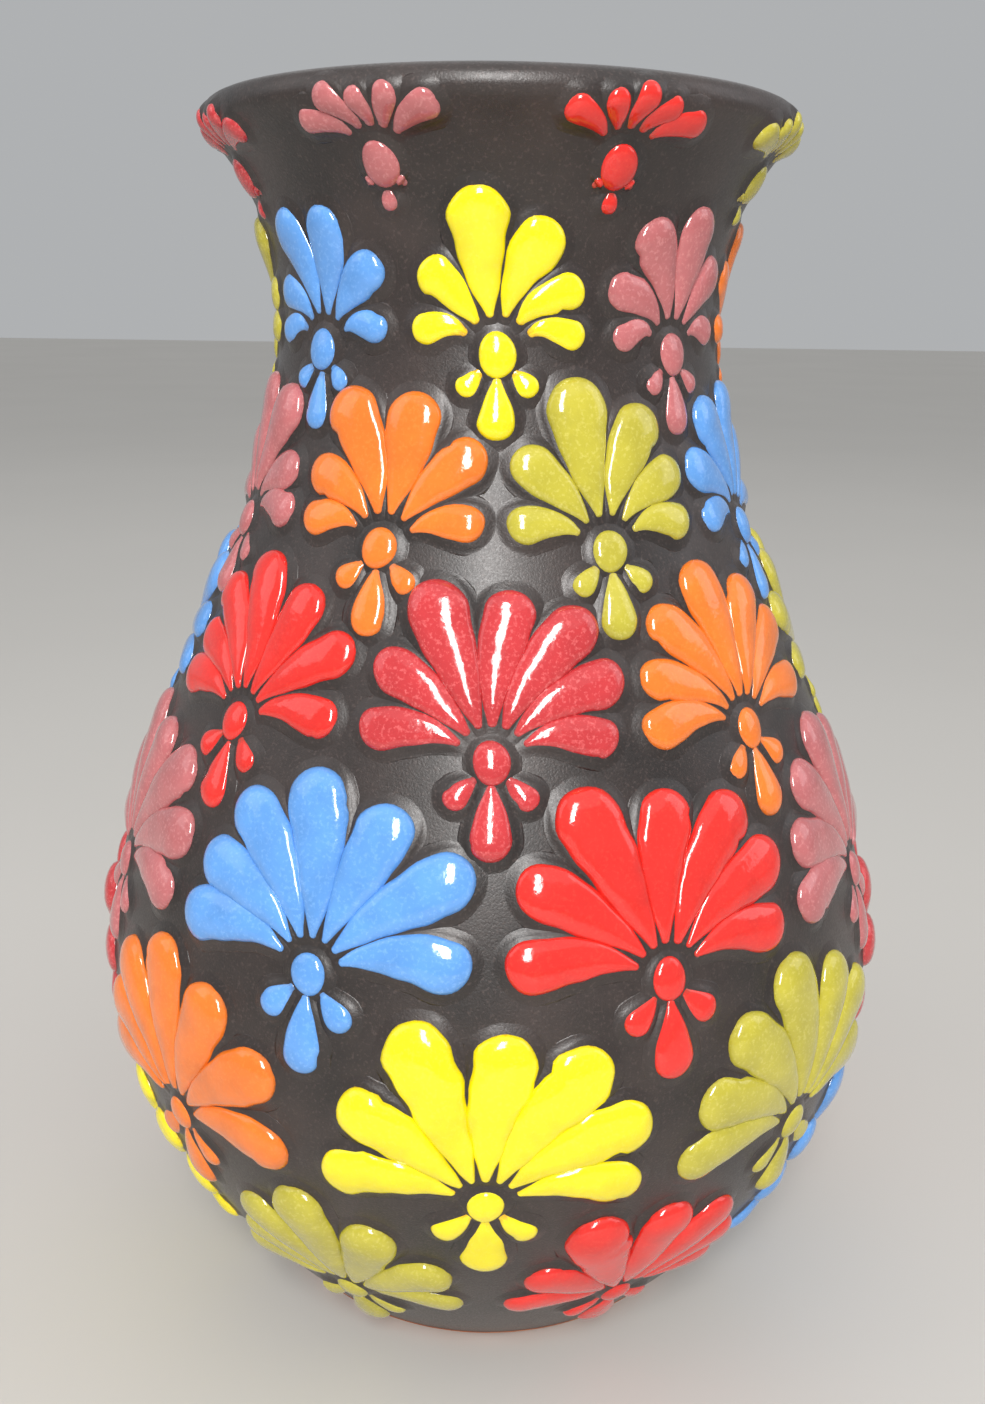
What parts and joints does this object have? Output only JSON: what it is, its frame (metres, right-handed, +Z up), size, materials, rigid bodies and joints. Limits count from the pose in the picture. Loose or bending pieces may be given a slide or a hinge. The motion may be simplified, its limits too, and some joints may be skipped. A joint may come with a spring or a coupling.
{
  "type": "flared pottery vase",
  "caption": "Wheel-thrown vase with a round belly, narrow neck and flared mouth, dark glazed and covered in raised enamel flower sprays.",
  "frame": {"origin": "centre of the foot ring, on the surface the vase stands on", "axes": "+Z up along the vessel's axis; the front, with the most detailed sprays, faces -Y; +X to the right as seen from the front"},
  "size_m": [0.1698, 0.1698, 0.2424],
  "materials": {
    "clay": "matt unglazed terracotta, seen only at the foot",
    "dark_glaze": "satin dark brown-black glaze with a fine grain",
    "liner_glaze": "plain brown glaze inside",
    "enamel_yellow": "glossy raised bright yellow enamel",
    "enamel_lime": "glossy raised pale lime-yellow enamel",
    "enamel_orange": "glossy raised orange enamel",
    "enamel_red": "glossy raised red enamel",
    "enamel_crimson": "glossy raised speckled crimson enamel",
    "enamel_blue": "glossy raised light blue enamel",
    "enamel_pink": "glossy raised pink enamel"
  },
  "bodies": {
    "root": {"clay_body": "clay", "glaze_coat": "dark_glaze", "glaze_liner": "liner_glaze", "spray_foot_1": "enamel_red", "spray_foot_2": "enamel_blue", "spray_foot_3": "enamel_orange", "spray_foot_4": "enamel_pink", "spray_foot_5": "enamel_blue", "spray_foot_6": "enamel_crimson", "spray_foot_7": "enamel_yellow", "spray_foot_8": "enamel_lime", "spray_low_1": "enamel_yellow", "spray_low_2": "enamel_lime", "spray_low_3": "enamel_crimson", "spray_low_4": "enamel_blue", "spray_low_5": "enamel_yellow", "spray_low_6": "enamel_red", "spray_low_7": "enamel_crimson", "spray_low_8": "enamel_orange", "spray_belly_1": "enamel_red", "spray_belly_2": "enamel_pink", "spray_belly_3": "enamel_blue", "spray_belly_4": "enamel_orange", "spray_belly_5": "enamel_lime", "spray_belly_6": "enamel_crimson", "spray_belly_7": "enamel_pink", "spray_belly_8": "enamel_blue", "spray_shoulder_1": "enamel_crimson", "spray_shoulder_2": "enamel_orange", "spray_shoulder_3": "enamel_lime", "spray_shoulder_4": "enamel_pink", "spray_shoulder_5": "enamel_blue", "spray_shoulder_6": "enamel_yellow", "spray_shoulder_7": "enamel_blue", "spray_shoulder_8": "enamel_red", "spray_neck_1": "enamel_lime", "spray_neck_2": "enamel_blue", "spray_neck_3": "enamel_red", "spray_neck_4": "enamel_yellow", "spray_neck_5": "enamel_crimson", "spray_neck_6": "enamel_lime", "spray_neck_7": "enamel_pink", "spray_neck_8": "enamel_orange", "spray_collar_1": "enamel_yellow", "spray_collar_2": "enamel_pink", "spray_collar_3": "enamel_orange", "spray_collar_4": "enamel_blue", "spray_collar_5": "enamel_red", "spray_collar_6": "enamel_orange", "spray_collar_7": "enamel_lime", "spray_collar_8": "enamel_blue", "spray_lip_1": "enamel_red", "spray_lip_2": "enamel_lime", "spray_lip_3": "enamel_yellow", "spray_lip_4": "enamel_crimson", "spray_lip_5": "enamel_pink", "spray_lip_6": "enamel_yellow", "spray_lip_7": "enamel_crimson", "spray_lip_8": "enamel_pink"}
  },
  "joints": []
}
